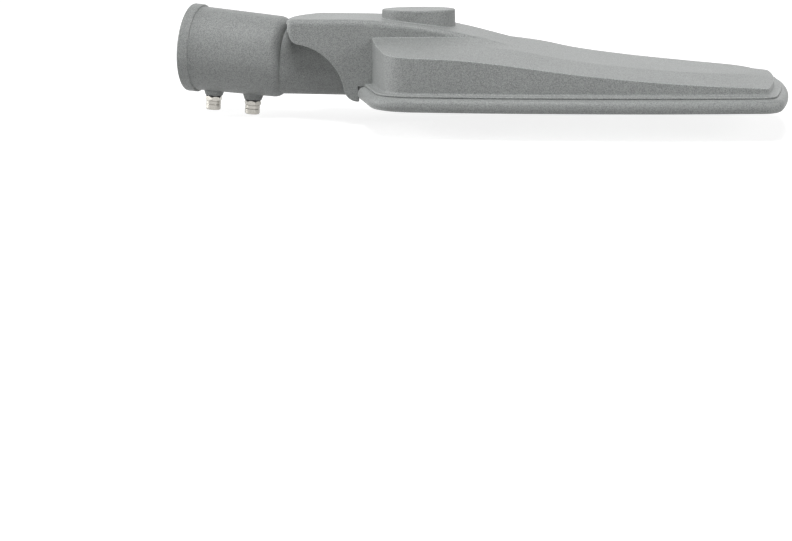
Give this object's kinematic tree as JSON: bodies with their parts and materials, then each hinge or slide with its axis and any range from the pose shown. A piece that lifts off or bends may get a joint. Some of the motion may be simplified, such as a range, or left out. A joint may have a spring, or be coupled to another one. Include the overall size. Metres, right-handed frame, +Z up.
{
  "type": "led street light head",
  "caption": "Die-cast LED street light head with a tilted pole socket, raised middle, round top boss, sloping shield-shaped shell and a glass window underneath.",
  "frame": {"origin": "centre of the pole bore at the mouth of the socket", "axes": "+X from the socket towards the tip of the lamp, +Y to the left seen from the socket, +Z up; the bore falls by 5.1 degrees towards +X"},
  "size_m": [0.5113, 0.2484, 0.0955],
  "materials": {
    "grey_casting": "fine-textured grey powder coat on die-cast aluminium",
    "zinc_steel": "bright zinc plate",
    "stainless_steel": "bright stainless steel",
    "black_rubber": "matt black sealing rubber",
    "grey_silicone": "matt dark grey silicone",
    "black_nylon": "matt black nylon",
    "clear_glass": "clear tempered glass",
    "clear_acrylic": "clear moulded acrylic",
    "white_board": "white solder mask on an aluminium core",
    "phosphor": "yellow phosphor resin",
    "bare_aluminium": "plain rolled sheet",
    "galvanised_steel": "galvanised sheet",
    "driver_case": "light grey moulded case",
    "terminal_plastic": "grey polyamide",
    "surge_plastic": "dark blue potted case"
  },
  "bodies": {
    "root": {"top_housing": "grey_casting", "pole_spigot": "grey_casting", "bottom_frame": "grey_casting", "clamp_screws": "zinc_steel", "clamp_nuts": "zinc_steel", "neck_bolts": "zinc_steel", "frame_screws": "stainless_steel", "clip_screws": "stainless_steel", "board_screws": "stainless_steel", "plate_screws": "stainless_steel", "tray_screws": "stainless_steel", "driver_screws": "stainless_steel", "terminal_screws": "stainless_steel", "glass_clips": "stainless_steel", "neck_gasket": "black_rubber", "housing_gasket": "grey_silicone", "glass_gasket": "grey_silicone", "gland_seal": "black_rubber", "gland_body": "black_nylon", "gland_cap": "black_nylon", "gland_locknut": "black_nylon", "vent": "black_nylon", "vent_nut": "black_nylon", "glass": "clear_glass", "lens_arrays": "clear_acrylic", "led_boards": "white_board", "led_chips": "phosphor", "mounting_plate": "bare_aluminium", "gear_tray": "galvanised_steel", "led_driver": "driver_case", "terminal_block": "terminal_plastic", "surge_protector": "surge_plastic"}
  },
  "joints": []
}
